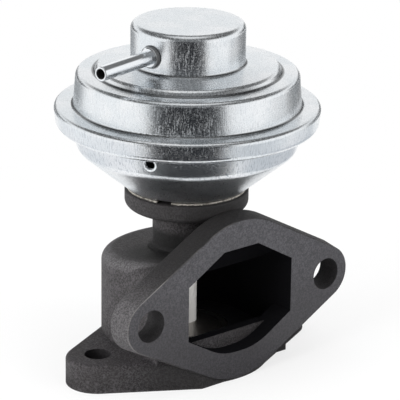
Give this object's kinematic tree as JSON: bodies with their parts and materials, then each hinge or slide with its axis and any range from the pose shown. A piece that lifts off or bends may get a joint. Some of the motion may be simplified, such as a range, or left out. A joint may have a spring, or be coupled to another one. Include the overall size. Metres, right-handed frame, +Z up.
{
  "type": "vacuum egr valve",
  "caption": "Cast-iron exhaust gas recirculation valve with a two-bolt base, an eight-sided side port, a stem valve and a round pressed-steel vacuum actuator.",
  "frame": {"origin": "where the valve stem's axis meets the underside of the base flange", "axes": "+Z up the stem towards the vacuum cap; -Y out of the side port; +X along the bolt lines, to the right when looking into the port from behind it (from -Y towards +Y, +X is to the right)"},
  "size_m": [0.0778, 0.0698, 0.0926],
  "materials": {
    "cast_iron": "as-cast, sand-grained, dark grey",
    "machined_steel": "turned and ground",
    "zinc_steel": "bright zinc plating over drawn steel",
    "dark_steel": "plain steel, oiled",
    "bronze": "sintered bronze",
    "graphite": "pressed graphite packing",
    "gasket_sheet": "compressed fibre sheet",
    "diaphragm_rubber": "fabric-reinforced silicone rubber",
    "spring_steel": "oil-tempered wire"
  },
  "bodies": {
    "housing": {"valve_body": "cast_iron", "seat_ring": "machined_steel", "guide_bush": "bronze", "soot_scraper": "dark_steel", "packing_ring": "graphite", "packing_cap": "dark_steel", "dish_gasket": "gasket_sheet", "backing_ring": "dark_steel", "dish_screws": "dark_steel", "lower_dish": "zinc_steel", "upper_can": "zinc_steel", "diaphragm": "diaphragm_rubber", "return_spring": "spring_steel", "spring_seat": "dark_steel", "vacuum_pipe": "zinc_steel", "pipe_ferrule": "zinc_steel"},
    "plunger": {"stem": "machined_steel", "valve_head": "machined_steel", "diaphragm_plate": "zinc_steel", "spring_cup": "zinc_steel", "stem_washer": "dark_steel", "stem_nut": "dark_steel"}
  },
  "joints": [
    {"name": "stem_lift", "type": "slide", "parent": "housing", "child": "plunger", "axis": [0, 0, 1], "range_m": [0, 0.005], "stiffness_N_per_m": 1500, "springref_m": -0.006, "deforming": ["return_spring", "diaphragm"]}
  ]
}
